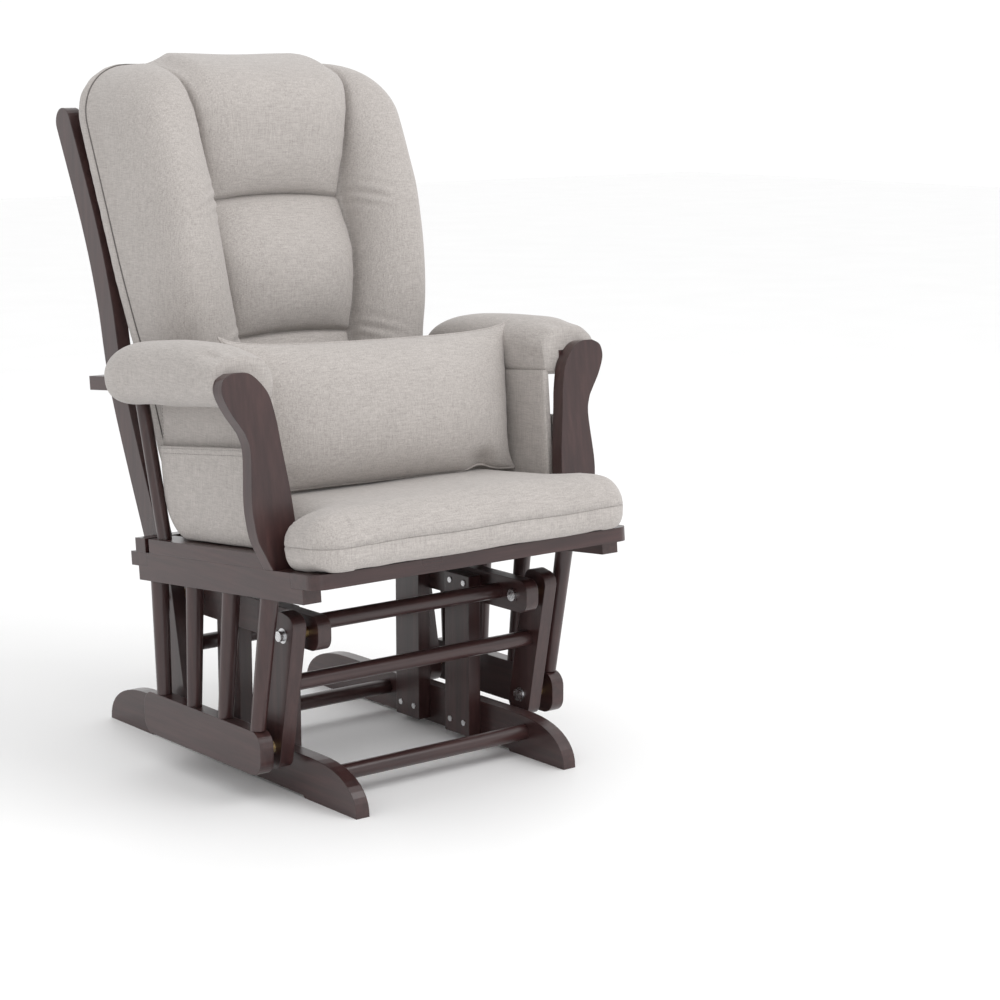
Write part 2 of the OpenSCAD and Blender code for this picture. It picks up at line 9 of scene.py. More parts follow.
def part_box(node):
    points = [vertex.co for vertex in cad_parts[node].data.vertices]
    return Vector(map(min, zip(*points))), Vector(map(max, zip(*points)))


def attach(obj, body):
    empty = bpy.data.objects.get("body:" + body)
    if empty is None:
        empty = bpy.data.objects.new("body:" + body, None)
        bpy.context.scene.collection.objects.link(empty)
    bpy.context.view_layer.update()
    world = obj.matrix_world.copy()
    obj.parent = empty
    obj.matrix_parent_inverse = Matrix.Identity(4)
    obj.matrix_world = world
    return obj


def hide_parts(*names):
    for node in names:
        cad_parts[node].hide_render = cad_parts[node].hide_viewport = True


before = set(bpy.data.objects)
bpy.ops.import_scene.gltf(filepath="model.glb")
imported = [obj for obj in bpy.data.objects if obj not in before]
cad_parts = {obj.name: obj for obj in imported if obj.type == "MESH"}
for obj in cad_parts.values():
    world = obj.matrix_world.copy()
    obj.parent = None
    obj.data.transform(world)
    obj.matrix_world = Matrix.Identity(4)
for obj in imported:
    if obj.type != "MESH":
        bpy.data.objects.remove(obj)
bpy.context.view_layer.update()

# ---------------------------------------------------------------- frame of the seat
TILT = math.radians(5)
SEAT_Z = 0.331
foot_low, foot_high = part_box("foot_left")
MID_Y = (foot_low.y + foot_high.y) / 2
COS, SIN = math.cos(TILT), math.sin(TILT)

# Middle line of a back post in the seat plane, in metres: height, then depth
POST_Z = [0.0, 0.233, 0.375, 0.491, 0.6465, 0.80]
POST_Y = [0.101, 0.176, 0.199, 0.229, 0.286, 0.345]


def to_world(p):
    """Points of the tilted seat plane, as points of the model's frame."""
    p = np.asarray(p, float)
    out = np.empty_like(p)
    out[..., 0] = p[..., 0]
    out[..., 1] = MID_Y + p[..., 1] * COS + p[..., 2] * SIN
    out[..., 2] = SEAT_Z - p[..., 1] * SIN + p[..., 2] * COS
    return out


def curve_through(xs, ys):
    """A smooth function through the given points (monotone cubic pieces)."""
    xs, ys = np.asarray(xs, float), np.asarray(ys, float)
    d = np.diff(ys) / np.diff(xs)
    m = np.concatenate([[d[0]], (d[1:] + d[:-1]) / 2, [d[-1]]])
    flat = np.concatenate([[False], d[1:] * d[:-1] <= 0, [False]])
    m[flat] = 0

    def f(x):
        x = np.clip(np.asarray(x, float), xs[0], xs[-1])
        i = np.clip(np.searchsorted(xs, x, side="right") - 1, 0, len(xs) - 2)
        h = xs[i + 1] - xs[i]
        t = (x - xs[i]) / h
        return (
            (2 * t**3 - 3 * t**2 + 1) * ys[i]
            + (t**3 - 2 * t**2 + t) * h * m[i]
            + (3 * t**2 - 2 * t**3) * ys[i + 1]
            + (t**3 - t**2) * h * m[i + 1]
        )

    return f


post_depth = curve_through(POST_Z, POST_Y)


def to_line(points, line):
    """Distance from each 2D point to a polyline."""
    a, b = line[:-1], line[1:]
    d = b - a
    rel = points[:, None, :] - a[None]
    t = np.clip((rel * d).sum(-1) / np.maximum((d * d).sum(-1), 1e-12), 0, 1)
    return np.linalg.norm(rel - t[..., None] * d, axis=-1).min(1)


def dome(t, p=2.0):
    """Rises steeply from 0 and levels off at 1, as the side of a stuffed cover does."""
    t = np.clip(t, 0, 1)
    return (1 - (1 - t) ** p) ** (1 / p)


def ripple(points, scale, seed):
    """Smooth noise at each point, from about -1 to 1."""
    shift = Vector((seed * 7.13, seed * 3.71, seed * 5.37))
    return np.array([noise.noise(Vector(p) * scale + shift) for p in points])


def ripple_over(a, b, scale, seed):
    """Smooth noise over a grid with coordinates a and b."""
    points = np.stack([a.ravel(), b.ravel(), np.zeros(a.size)], 1)
    return ripple(points, scale, seed).reshape(a.shape)


def make(name, verts, faces, material, body):
    """A smooth mesh object that rides on a body."""
    mesh = bpy.data.meshes.new(name)
    mesh.from_pydata([tuple(v) for v in verts], [], faces)
    mesh.validate()
    mesh.update()
    obj = bpy.data.objects.new(name, mesh)
    bpy.context.collection.objects.link(obj)
    for poly in mesh.polygons:
        poly.use_smooth = True
    mesh.materials.append(material)
    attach(obj, body)
    return obj


def outward(obj):
    """Turns every face outwards."""
    bm = bmesh.new()
    bm.from_mesh(obj.data)
    bmesh.ops.recalc_face_normals(bm, faces=bm.faces)
    bm.to_mesh(obj.data)
    bm.free()
    return obj


# ---------------------------------------------------------------- materials
def nodes_of(name):
    mat = bpy.data.materials.new(name)
    mat.use_nodes = True
    tree = mat.node_tree
    tree.nodes.clear()
    out = tree.nodes.new("ShaderNodeOutputMaterial")
    bsdf = tree.nodes.new("ShaderNodeBsdfPrincipled")
    tree.links.new(bsdf.outputs[0], out.inputs[0])
    return mat, tree, bsdf


def scaled_coords(tree, scale):
    coord = tree.nodes.new("ShaderNodeTexCoord")
    mapping = tree.nodes.new("ShaderNodeMapping")
    mapping.inputs["Scale"].default_value = scale
    tree.links.new(coord.outputs["Object"], mapping.inputs[0])
    return mapping.outputs[0]


def noise_node(tree, vector, scale, detail=3.0, rough=0.5):
    n = tree.nodes.new("ShaderNodeTexNoise")
    n.inputs["Scale"].default_value = scale
    n.inputs["Detail"].default_value = detail
    n.inputs["Roughness"].default_value = rough
    tree.links.new(vector, n.inputs["Vector"])
    return n.outputs[0]


def ramp(tree, value, stops):
    r = tree.nodes.new("ShaderNodeValToRGB")
    while len(r.color_ramp.elements) < len(stops):
        r.color_ramp.elements.new(0.5)
    for element, (place, colour) in zip(r.color_ramp.elements, stops):
        element.position = place
        element.color = (*colour, 1)
    tree.links.new(value, r.inputs[0])
    return r.outputs[0]


def maths(tree, kind, a, b):
    m = tree.nodes.new("ShaderNodeMath")
    m.operation = kind
    for i, v in enumerate((a, b)):
        if isinstance(v, (int, float)):
            m.inputs[i].default_value = v
        else:
            tree.links.new(v, m.inputs[i])
    return m.outputs[0]


def remap(tree, value, lo, hi, a=0.0, b=1.0):
    m = tree.nodes.new("ShaderNodeMapRange")
    m.inputs["From Min"].default_value = a
    m.inputs["From Max"].default_value = b
    m.inputs["To Min"].default_value = lo
    m.inputs["To Max"].default_value = hi
    tree.links.new(value, m.inputs["Value"])
    return m.outputs[0]


def bump(tree, height, strength, distance, normal=None):
    b = tree.nodes.new("ShaderNodeBump")
    b.inputs["Strength"].default_value = strength
    b.inputs["Distance"].default_value = distance
    tree.links.new(height, b.inputs["Height"])
    if normal is not None:
        tree.links.new(normal, b.inputs["Normal"])
    return b.outputs[0]


def lacquered_wood(name, along):
    """Dark cherry brown lacquer over close-grained wood. The grain runs along the given axis."""
    mat, tree, bsdf = nodes_of(name)
    stretch = [9.0, 9.0, 9.0]
    stretch[along] = 0.55
    grain_at = scaled_coords(tree, stretch)
    plain = scaled_coords(tree, (1, 1, 1))
    grain = noise_node(tree, grain_at, 11, 6, 0.62)
    pores = noise_node(tree, grain_at, 70, 2, 0.5)
    cloud = noise_node(tree, plain, 6, 2, 0.5)
    mixed = maths(tree, "ADD", maths(tree, "MULTIPLY", grain, 0.75), maths(tree, "MULTIPLY", cloud, 0.25))
    colour = ramp(tree, mixed, [
        (0.30, (0.022, 0.0085, 0.0085)), (0.50, (0.037, 0.0150, 0.0145)), (0.72, (0.060, 0.0255, 0.0235)),
    ])
    tree.links.new(colour, bsdf.inputs["Base Color"])
    tree.links.new(remap(tree, cloud, 0.27, 0.40, 0.3, 0.7), bsdf.inputs["Roughness"])
    bsdf.inputs["Specular IOR Level"].default_value = 0.48
    bsdf.inputs["Coat Weight"].default_value = 0.30
    bsdf.inputs["Coat Roughness"].default_value = 0.22
    edge = tree.nodes.new("ShaderNodeBevel")
    edge.samples = 4
    edge.inputs["Radius"].default_value = 0.0022
    fine = bump(tree, pores, 0.10, 0.0006, edge.outputs[0])
    tree.links.new(bump(tree, grain, 0.12, 0.0010, fine), bsdf.inputs["Normal"])
    return mat


def woven_cloth(name, light, dark):
    """Heathered weave: long slubs both ways on every face, fine threads and a soft sheen."""
    mat, tree, bsdf = nodes_of(name)
    long_x = noise_node(tree, scaled_coords(tree, (55, 640, 640)), 1, 2, 0.5)
    long_y = noise_node(tree, scaled_coords(tree, (640, 55, 640)), 1, 2, 0.5)
    long_z = noise_node(tree, scaled_coords(tree, (640, 640, 60)), 1, 2, 0.5)
    fleck = noise_node(tree, scaled_coords(tree, (1, 1, 1)), 900, 2, 0.6)
    cloud = noise_node(tree, scaled_coords(tree, (1, 1, 1)), 9, 3, 0.5)
    threads = maths(tree, "MULTIPLY", maths(tree, "ADD", maths(tree, "ADD", long_x, long_y), long_z), 1 / 3)
    mixed = maths(tree, "ADD", maths(tree, "MULTIPLY", threads, 0.84), maths(tree, "MULTIPLY", fleck, 0.10))
    mixed = maths(tree, "ADD", mixed, maths(tree, "MULTIPLY", cloud, 0.06))
    middle = tuple((a + b) / 2 for a, b in zip(light, dark))
    colour = ramp(tree, mixed, [(0.36, dark), (0.50, middle), (0.64, light)])
    tree.links.new(colour, bsdf.inputs["Base Color"])
    tree.links.new(remap(tree, fleck, 0.80, 0.95, 0.3, 0.7), bsdf.inputs["Roughness"])
    bsdf.inputs["Specular IOR Level"].default_value = 0.25
    bsdf.inputs["Sheen Weight"].default_value = 0.22
    bsdf.inputs["Sheen Roughness"].default_value = 0.5
    weave = bump(tree, threads, 0.55, 0.0011)
    tree.links.new(bump(tree, fleck, 0.35, 0.0005, weave), bsdf.inputs["Normal"])
    return mat


def metal(name, colour, rough):
    mat, tree, bsdf = nodes_of(name)
    scuff = noise_node(tree, scaled_coords(tree, (1, 1, 1)), 260, 4, 0.6)
    tone = ramp(tree, scuff, [(0.3, tuple(0.82 * c for c in colour)), (0.7, colour)])
    tree.links.new(tone, bsdf.inputs["Base Color"])
    tree.links.new(remap(tree, scuff, rough, rough + 0.14, 0.3, 0.7), bsdf.inputs["Roughness"])
    bsdf.inputs["Metallic"].default_value = 1.0
    tree.links.new(bump(tree, scuff, 0.08, 0.0004), bsdf.inputs["Normal"])
    return mat


WOOD = [lacquered_wood(f"lacquered_wood_{axis}", i) for i, axis in enumerate("xyz")]
CLOTH = woven_cloth("heathered_cloth", (0.505, 0.470, 0.446), (0.312, 0.287, 0.271))
THREAD = woven_cloth("sewing_thread", (0.32, 0.30, 0.284), (0.24, 0.224, 0.212))
# very dark cloth that paints the shade in the seam groove of the back cushion, not the colour of a thread
SEAM_SHADE = woven_cloth("painted_seam_shade", (0.17, 0.157, 0.148), (0.11, 0.101, 0.096))
STEEL = metal("plated_steel", (0.72, 0.72, 0.73), 0.20)
BRASS = metal("satin_brass", (0.70, 0.50, 0.24), 0.28)

ALONG_Y = ("foot_", "top_bar_", "glide_rail_", "seat_rail_", "arm_base_", "arm_board_")
ALONG_X = (
    "bar_dowel", "foot_dowel", "swing_dowel", "seat_front",
    "seat_rear_b", "seat_slats", "back_lower", "back_top",
)
for name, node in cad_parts.items():
    if any(k in name for k in ("bolts", "screws", "bearings")):
        material = STEEL
    elif "spacers" in name:
        material = BRASS
    elif any(k in name for k in ALONG_X):
        material = WOOD[0]
    elif name.startswith(ALONG_Y):
        material = WOOD[1]
    else:
        material = WOOD[2]
    for slot in node.material_slots:
        slot.material = material


# ---------------------------------------------------------------- sewn shells
# All shapes below are in the seat plane's own metres: x across, y back, z up from the seat rails.
def grid_faces(nu, nv, first, flip=False):
    faces = []
    for j in range(nv):
        for i in range(nu):
            a = first + j * (nu + 1) + i
            quad = (a, a + 1, a + nu + 2, a + nu + 1)
            faces.append(quad[::-1] if flip else quad)
    return faces


def rim_of(nu, nv, first):
    """Vertices round the edge of a grid, in order."""
    bottom = [first + i for i in range(nu)]
    right = [first + j * (nu + 1) + nu for j in range(nv)]
    top = [first + nv * (nu + 1) + i for i in range(nu, 0, -1)]
    left = [first + j * (nu + 1) for j in range(nv, 0, -1)]
    return bottom + right + top + left


def straight(t, a, b):
    """A plain band between two edges."""
    return (b - a) * t + a


def shell(name, front, back, band_rows, band, material, body):
    """Two grids of points joined round their edges by a band. band(t, a, b) places a point of the band."""
    nv, nu = front.shape[0] - 1, front.shape[1] - 1
    verts = [*front.reshape(-1, 3), *back.reshape(-1, 3)]
    size = (nu + 1) * (nv + 1)
    faces = grid_faces(nu, nv, 0) + grid_faces(nu, nv, size, True)
    rim_a, rim_b = rim_of(nu, nv, 0), rim_of(nu, nv, size)
    rows = [rim_a]
    for k in range(1, band_rows):
        start = len(verts)
        verts += [band(k / band_rows, np.array(verts[a]), np.array(verts[b])) for a, b in zip(rim_a, rim_b)]
        rows.append(list(range(start, len(verts))))
    rows.append(rim_b)
    for one, two in zip(rows[:-1], rows[1:]):
        n = len(one)
        faces += [(one[i], two[i], two[(i + 1) % n], one[(i + 1) % n]) for i in range(n)]
    return outward(make(name, verts, faces, material, body))


def crowded(n):
    """Steps from -1 to 1 that crowd together at both ends."""
    t = np.linspace(-1, 1, n + 1)
    return 0.45 * t + 0.55 * np.sin(t * math.pi / 2)


def rows_grid(nu, nv, low, high, half):
    """Grid of (x, t) points that fills an outline of half-width half(t) from t=low to t=high."""
    t = low + (high - low) * (crowded(nv) + 1) / 2
    u = crowded(nu)
    w = half(t)
    return w[:, None] * u[None, :], np.repeat(t[:, None], nu + 1, 1)


def edge_line(half, low, high, n):
    """Closed outline of half-width half(t), as points."""
    v = np.linspace(-1, 1, n)
    t = low + (high - low) * (np.sin(v * math.pi / 2) + 1) / 2
    w = half(t)
    right = np.stack([w, t], 1)
    left = np.stack([-w[::-1], t[::-1]], 1)
    return np.concatenate([right, left, right[:1]])


def soft_step(t):
    """Rises from 0 to 1 with level ends."""
    t = np.clip(t, 0, 1)
    return t * t * (3 - 2 * t)


def spread(n):
    """Steps from 0 to 1 that crowd together at both ends."""
    t = np.linspace(0, 1, n + 1)
    return 0.45 * t + 0.275 * (1 - np.cos(math.pi * t))


def make_back_cushion():
    """Two long side columns and three stuffed panels between them, on a gusset."""
    low, side_top, raised = 0.100, 0.729, 0.0170
    corner_r = 0.092
    half = curve_through([0.09, 0.28, 0.345, 0.42, 0.60, 0.74], [0.228, 0.233, 0.243, 0.250, 0.251, 0.250])
    seam_x = curve_through(
        [0.09, 0.305, 0.39, 0.45, 0.514, 0.59, 0.65, 0.735],
        [0.100, 0.108, 0.119, 0.124, 0.122, 0.132, 0.139, 0.156],
    )
    rear_gap = curve_through([0.10, 0.50, 0.74], [0.027, 0.027, 0.039])
    gusset = 0.035
    full = curve_through(
        [0.09, 0.30, 0.35, 0.47, 0.543, 0.64, 0.70, 0.74],
        [0.100, 0.116, 0.124, 0.146, 0.158, 0.156, 0.148, 0.138],
    )
    breaks = [low, 0.303, 0.512, side_top]
    arches = [0.0, 0.007, 0.009, 0.0]
    sunk = curve_through(
        [0.09, 0.33, 0.42, 0.512, 0.58, 0.65, 0.74],
        [0.050, 0.065, 0.067, 0.085, 0.060, 0.030, 0.022],
    )
    puff = [0.026, 0.036, 0.036]

    # rows of the grid follow the cross seams, its columns follow the long seams
    steps = 44
    parts = [a + (b - a) * spread(steps)[1:] for a, b in zip(breaks[:-1], breaks[1:])]
    rows = np.concatenate([[low], *parts])
    panel = np.concatenate([[0], np.repeat([0, 1, 2], steps)])
    seam, w = seam_x(rows), half(rows)
    outer, middle = spread(36), spread(50) * 2 - 1
    x = np.concatenate([
        -(seam[:, None] + (w - seam)[:, None] * outer[None, ::-1]),
        seam[:, None] * middle[None, 1:-1],
        seam[:, None] + (w - seam)[:, None] * outer[None, :],
    ], 1)
    z = np.repeat(rows[:, None], x.shape[1], 1)
    sx, wide = seam[:, None], w[:, None]
    ax = np.abs(x)
    inside = ax < sx - 1e-9
    for k in (1, 2):
        reach = np.where(z > breaks[k], breaks[k + 1] - breaks[k], breaks[k] - breaks[k - 1])
        near = np.clip(1 - np.abs(rows[:, None] - breaks[k]) / reach, 0, 1)
        z = z + arches[k] * (1 - (x / sx) ** 2) * inside * near
    flat_z = z
    # round the two upper corners
    px = np.clip((ax - (wide - corner_r)) / corner_r, 0, 1)
    pz = np.clip((z - (side_top - corner_r)) / corner_r, 0, 1)
    round_x = (wide - corner_r) + corner_r * px * np.sqrt(1 - pz**2 / 2)
    round_z = (side_top - corner_r) + corner_r * pz * np.sqrt(1 - px**2 / 2)
    x = np.where(px * pz > 0, np.sign(x) * round_x, x)
    z = np.where(px * pz > 0, round_z, z)
    ax = np.abs(x)
    # the head panel is puffed up above the columns, a little less in the middle
    climb = np.clip((rows[:, None] - breaks[2]) / (side_top - breaks[2]), 0, 1) ** 2
    dip = 1 - 0.15 * np.exp(-((x / 0.07) ** 2))
    puffed = climb * raised * soft_step((sx - 0.012 - ax) / 0.035 + 0.15) * dip

    border = np.concatenate([
        np.stack([x[0], z[0]], 1), np.stack([x[:, -1], z[:, -1]], 1),
        np.stack([x[-1], z[-1]], 1)[::-1], np.stack([x[:, 0], z[:, 0]], 1)[::-1],
    ])
    d = to_line(np.stack([x.ravel(), z.ravel()], 1), border).reshape(x.shape)
    rim = dome(d / 0.055, 2.5)
    s = np.clip((ax - sx) / np.maximum(wide - sx, 0.02), 0, 1)
    valley = full(z) - sunk(z)
    column = valley + sunk(z) * dome(s / 0.55, 2.0)
    rise = np.zeros_like(x)
    for k in range(3):
        mid, reach = (breaks[k] + breaks[k + 1]) / 2, (breaks[k + 1] - breaks[k]) / 2
        t = np.abs((rows[:, None] - mid) / reach)
        shape = (1 - np.clip(t, 0, 1) ** 2.8) ** 0.55 * (1 - np.clip(ax / sx, 0, 1) ** 2.8) ** 0.55
        rise = np.where(panel[:, None] == k, puff[k] * shape, rise)
    top_fade = np.where(panel[:, None] == 2, dome((z.max() - z) / 0.05, 2.2), 1)
    depth = np.where(inside, valley + rise * top_fade, column)
    # gathers where the panels are sewn together
    to_long = np.abs(ax - sx)
    to_cross = np.minimum(np.abs(rows[:, None] - breaks[1]), np.abs(rows[:, None] - breaks[2])) + 0 * x
    depth -= 0.0070 * np.exp(-((to_long / 0.0032) ** 2))
    depth -= 0.0060 * np.exp(-((to_cross / 0.0032) ** 2)) * inside
    gather_z = ripple_over(x * 0.25, z, 62, 1)
    gather_x = ripple_over(x, z * 0.25, 62, 2)
    depth += 0.0019 * gather_z * np.exp(-((to_long / 0.020) ** 1.4))
    depth += 0.0013 * gather_x * np.exp(-((to_cross / 0.014) ** 2)) * inside
    for sign in (-1, 1):
        for level, lift in ((breaks[2], 0.0034), (breaks[1], 0.0024)):
            dx, dz = ax - sx, flat_z - level
            fold = np.exp(-((dx / 0.040) ** 2) - (dz / 0.024) ** 2) * dome(dx / 0.006)
            fold = fold * (x * sign > 0) * (~inside)
            depth += lift * fold * np.cos((dz + 0.35 * dx) * 2 * math.pi / 0.019)
    depth += 0.0032 * ripple_over(x, z, 8, 3)
    depth = np.clip(depth, 0.02, None) * rim

    rear = post_depth(z) - rear_gap(z)
    front = to_world(np.stack([x, rear - gusset - depth, z + puffed * soft_step(depth / 0.045)], -1))
    hollow = 0.010 * (1 - dome(d / 0.05))
    sag = 0.004 * soft_step((z - 0.68) / 0.04)
    back = to_world(np.stack([x * 0.988, rear + 0.002 - hollow, z - sag], -1))
    centre = Vector(to_world([0.0, 0.15, 0.42]))

    def band(t, a, b):
        out = (b - a) * t + a
        away = out - np.array(centre)
        away[1] = 0
        away /= max(np.linalg.norm(away), 1e-9)
        gather = 0.0010 * noise.noise(Vector(out) * 75)
        return out + away * (0.0042 * math.sin(math.pi * t) ** 0.5 + gather)

    cushion = shell("back_cushion_cover", front, back, 9, band, CLOTH, "seat")
    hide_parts("back_cushion")
    rim = front.reshape(-1, 3)[rim_of(x.shape[1] - 1, x.shape[0] - 1, 0)]
    out = rim - np.array(centre)
    out[:, 1] = 0
    out /= np.linalg.norm(out, axis=1)[:, None]
    # thin dark cord along the gusset seam: a line of painted shade where the seam groove falls in shadow
    cord("back_cushion_gusset_seam_shade", rim + 0.0008 * out, 0.0010, "seat", SEAM_SHADE)
    return cushion


def seat_half(y):
    """Half-width of the seat cushion at depth y: two ears in front of the arm planks."""
    y = np.asarray(y, float)
    ear, waist, r = 0.2790, 0.2350, 0.050
    step = 1 / (1 + np.exp((y + 0.2775) / 0.0035))
    w = waist + (ear - waist) * step
    front = np.clip((-0.3875 + r - y) / r, 0, 1)
    w = w - r * (1 - (1 - front**2.2) ** (1 / 2.2))
    rear = np.clip((y - 0.030) / 0.03, 0, 1)
    return w - 0.03 * (1 - np.sqrt(1 - rear**2))


def make_seat_cushion():
    """Boxed cushion: a domed top, a seam all round and a rounded underside."""
    low, high = -0.3875, 0.060
    x, y = rows_grid(140, 130, low, high, seat_half)
    rim = edge_line(seat_half, low, high, 400)
    d = to_line(np.stack([x.ravel(), y.ravel()], 1), rim).reshape(x.shape)
    seam_z = 0.0345 + 0.0008 * np.sin(x * 33)
    crown = 0.008 * np.clip(1 - (x / 0.30) ** 2, 0, 1) * np.clip(1 - ((y + 0.17) / 0.30) ** 2, 0, 1)
    edge = dome(d / 0.006)
    top = (0.0455 + crown) * dome(d / 0.060, 2.15)
    under = 0.0335 * dome(d / 0.020, 2.4)
    along = np.where(np.abs(x) > 0.225, y, x)
    gather = ripple_over(along, d * 0.2, 48, 4)
    corner = np.exp(-(((np.abs(x) - 0.245) / 0.045) ** 2 + ((y + 0.36) / 0.05) ** 2))
    near = np.exp(-(((d - 0.006) / (0.014 + 0.016 * corner)) ** 2)) * edge
    top += 0.0013 * gather * near * (0.5 + 4.2 * corner)
    under -= 0.0011 * gather * near * (0.5 + 4.2 * corner)
    top += 0.0030 * ripple_over(x, y, 7, 5) * dome(d / 0.08)
    upper = to_world(np.stack([x, y, seam_z + 0.0006 + top], -1))
    lower = to_world(np.stack([x, y, np.maximum(seam_z - 0.0006 - under, 0.0007)], -1))
    middle = np.array(to_world([0.0, -0.17, 0.036]))

    def band(t, a, b):
        out = (b - a) * t + a
        inward = middle - out
        inward[2] = 0
        return out + inward / np.linalg.norm(inward) * 0.0022

    cushion = shell("seat_cushion_cover", upper, lower, 2, band, CLOTH, "seat")
    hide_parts("seat_cushion")
    return cushion


def make_pillow():
    """Loose oblong pillow with pulled-out corners and a welt, leaning on the back cushion."""
    n, m = 130, 76
    u, v = np.meshgrid(crowded(n), crowded(m))
    x = u * (0.2365 + 0.011 * v + 0.012 * v**4 + 0.003 * v**12)
    ear = np.where(v > 0, 0.010 * np.abs(u) ** 6 + 0.004 * np.abs(u) ** 20, 0.003 + 0.003 * np.abs(u) ** 6)
    h = v * (0.1035 + ear) - 0.004 * (1 - u**2) * (v > 0) * v
    h += 0.008 * np.exp(-(((u - 0.72) / 0.09) ** 2)) * (v < 0) * v**4
    full = ((1 - np.abs(u) ** 2.8) * (1 - np.abs(v) ** 2.2)) ** 0.55
    edge = np.minimum((1 - np.abs(u)) * 0.24, (1 - np.abs(v)) * 0.11)
    along = np.where((1 - np.abs(u)) * 0.24 < (1 - np.abs(v)) * 0.11, v * 0.11, u * 0.24)
    folds = ripple_over(along, edge * 0.25, 52, 6)
    broad = ripple_over(x, h, 10, 7)
    flange = dome(edge / 0.006)
    swell = 0.0575 * full * (1 + 0.06 * broad)
    swell += 0.0016 * folds * np.exp(-(((edge - 0.012) / 0.014) ** 2)) * flange
    dent = np.exp(-(((u - 0.70) / 0.10) ** 2 + ((v + 0.90) / 0.13) ** 2))
    dent += 0.5 * np.exp(-(((u + 0.78) / 0.10) ** 2 + ((v + 0.88) / 0.14) ** 2))
    lean, roll = math.radians(7), math.radians(1.1)
    turned_x = x * math.cos(roll) + h * math.sin(roll)
    turned_h = h * math.cos(roll) - x * math.sin(roll)
    base_y, base_z = -0.142, 0.1960

    def place(side):
        off = side * np.clip(swell - (0.010 * dent if side < 0 else 0), 0.0006, None)
        y = base_y + off * math.cos(lean) + turned_h * math.sin(lean)
        z = base_z + turned_h * math.cos(lean) - off * math.sin(lean)
        return to_world(np.stack([turned_x, y, z], -1))

    front, back = place(-1), place(1)
    pillow = shell("lumbar_pillow_cover", front, back, 2, straight, CLOTH, "pillow")
    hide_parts("lumbar_pillow")
    rim = np.array([(front.reshape(-1, 3)[i] + back.reshape(-1, 3)[i]) / 2 for i in rim_of(n, m, 0)])
    cord("lumbar_pillow_welt", rim, 0.0019, "pillow", CLOTH)
    return pillow


def cord(name, loop, radius, body, material):
    """Closed round welt that follows a loop of points."""
    sides = 8
    verts, faces = [], []
    count = len(loop)
    for i in range(count):
        t = loop[(i + 1) % count] - loop[i - 1]
        t = t / np.linalg.norm(t)
        up = np.array([0.0, 1.0, 0.0]) if abs(t[1]) < 0.9 else np.array([1.0, 0.0, 0.0])
        a = np.cross(t, up)
        a /= np.linalg.norm(a)
        b = np.cross(t, a)
        for k in range(sides):
            c = 2 * math.pi * k / sides
            verts.append(loop[i] + radius * (a * math.cos(c) + b * math.sin(c)))
    for i in range(count):
        j = (i + 1) % count
        for k in range(sides):
            m = (k + 1) % sides
            faces.append((i * sides + k, i * sides + m, j * sides + m, j * sides + k))
    return outward(make(name, verts, faces, material, body))


def make_arm_pad(side, name, node):
    """Padded arm top: a closed roll from the plank to a domed rear end."""
    rows, ring = 84, 110
    y0, y1 = -0.2345, 0.088
    crest = curve_through(
        [-0.235, -0.20, -0.15, -0.05, 0.0, 0.09],
        [0.2965, 0.3065, 0.3130, 0.3165, 0.3155, 0.3080],
    )
    hem, middle_x = 0.2235, 0.2965
    outer_x, inner_x = 0.0470, 0.0562
    a = np.linspace(0, 2 * math.pi, ring, endpoint=False)
    ca, sa = np.cos(a), np.sin(a)
    boxy = (ca < 0) & (sa < 0)
    power = np.where(boxy, 0.42, 0.86)
    ux = np.sign(ca) * np.abs(ca) ** power
    uz = np.sign(sa) * np.abs(sa) ** power
    verts, faces = [], []
    for y in y0 + (y1 - y0) * spread(rows):
        back = max(0.0, (y - (y1 - 0.070)) / 0.070)
        shrink = max(1 - back**2.4, 0.0) ** (1 / 2.4)
        front = dome((y - y0 + 0.002) / 0.020)
        nose = 0.93 + 0.07 * front
        high, low = float(crest(y)), hem + 0.003 * (1 - front)
        centre_z = (high + low) / 2 - 0.004 * back
        rz = (high - low) / 2 * nose
        for i in range(ring):
            rx = (outer_x if ux[i] > 0 else inner_x) * nose
            verts.append([
                middle_x + ux[i] * rx * (0.22 + 0.78 * shrink),
                y,
                centre_z + uz[i] * rz * (shrink if uz[i] > 0 else 0.35 + 0.65 * shrink),
            ])
    verts = np.array(verts)
    centre = np.array([middle_x, 0, 0.27])
    away = verts - centre
    away[:, 1] = 0
    away /= np.maximum(np.linalg.norm(away, axis=1), 1e-6)[:, None]
    verts = verts + away * (0.0020 * ripple(verts, 13, 8 + side))[:, None]
    # the cover is pulled into short folds round the head of the plank
    at_plank = np.exp(-(((verts[:, 1] + 0.222) / 0.022) ** 2))
    turn = np.arctan2(verts[:, 2] - 0.262, verts[:, 0] - middle_x)
    verts -= away * (at_plank * 0.0022 * (0.5 + 0.5 * np.cos(turn * 9 + side)))[:, None]
    fold = np.exp(-(((verts[:, 1] + 0.205) / 0.016) ** 2 + ((turn - 0.95) / 0.16) ** 2))
    verts -= away * (0.0050 * fold)[:, None]
    for k in range(rows):
        for i in range(ring):
            j = (i + 1) % ring
            faces.append((k * ring + i, k * ring + j, (k + 1) * ring + j, (k + 1) * ring + i))
    verts = verts.tolist()
    for k in (0, rows):
        loop = [k * ring + i for i in range(ring)]
        centre = np.mean([verts[i] for i in loop], axis=0)
        previous = loop
        for f in (0.66, 0.33):
            start = len(verts)
            verts += [list(centre + (np.array(verts[i]) - centre) * f) for i in loop]
            current = list(range(start, len(verts)))
            for i in range(ring):
                j = (i + 1) % ring
                faces.append((previous[i], previous[j], current[j], current[i]))
            previous = current
        verts.append(list(centre))
        faces += [(previous[i], previous[(i + 1) % ring], len(verts) - 1) for i in range(ring)]
    verts = np.array(verts)
    verts[:, 0] *= side
    pad = outward(make(name, to_world(verts), faces, CLOTH, "seat"))
    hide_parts(node)
    return pad


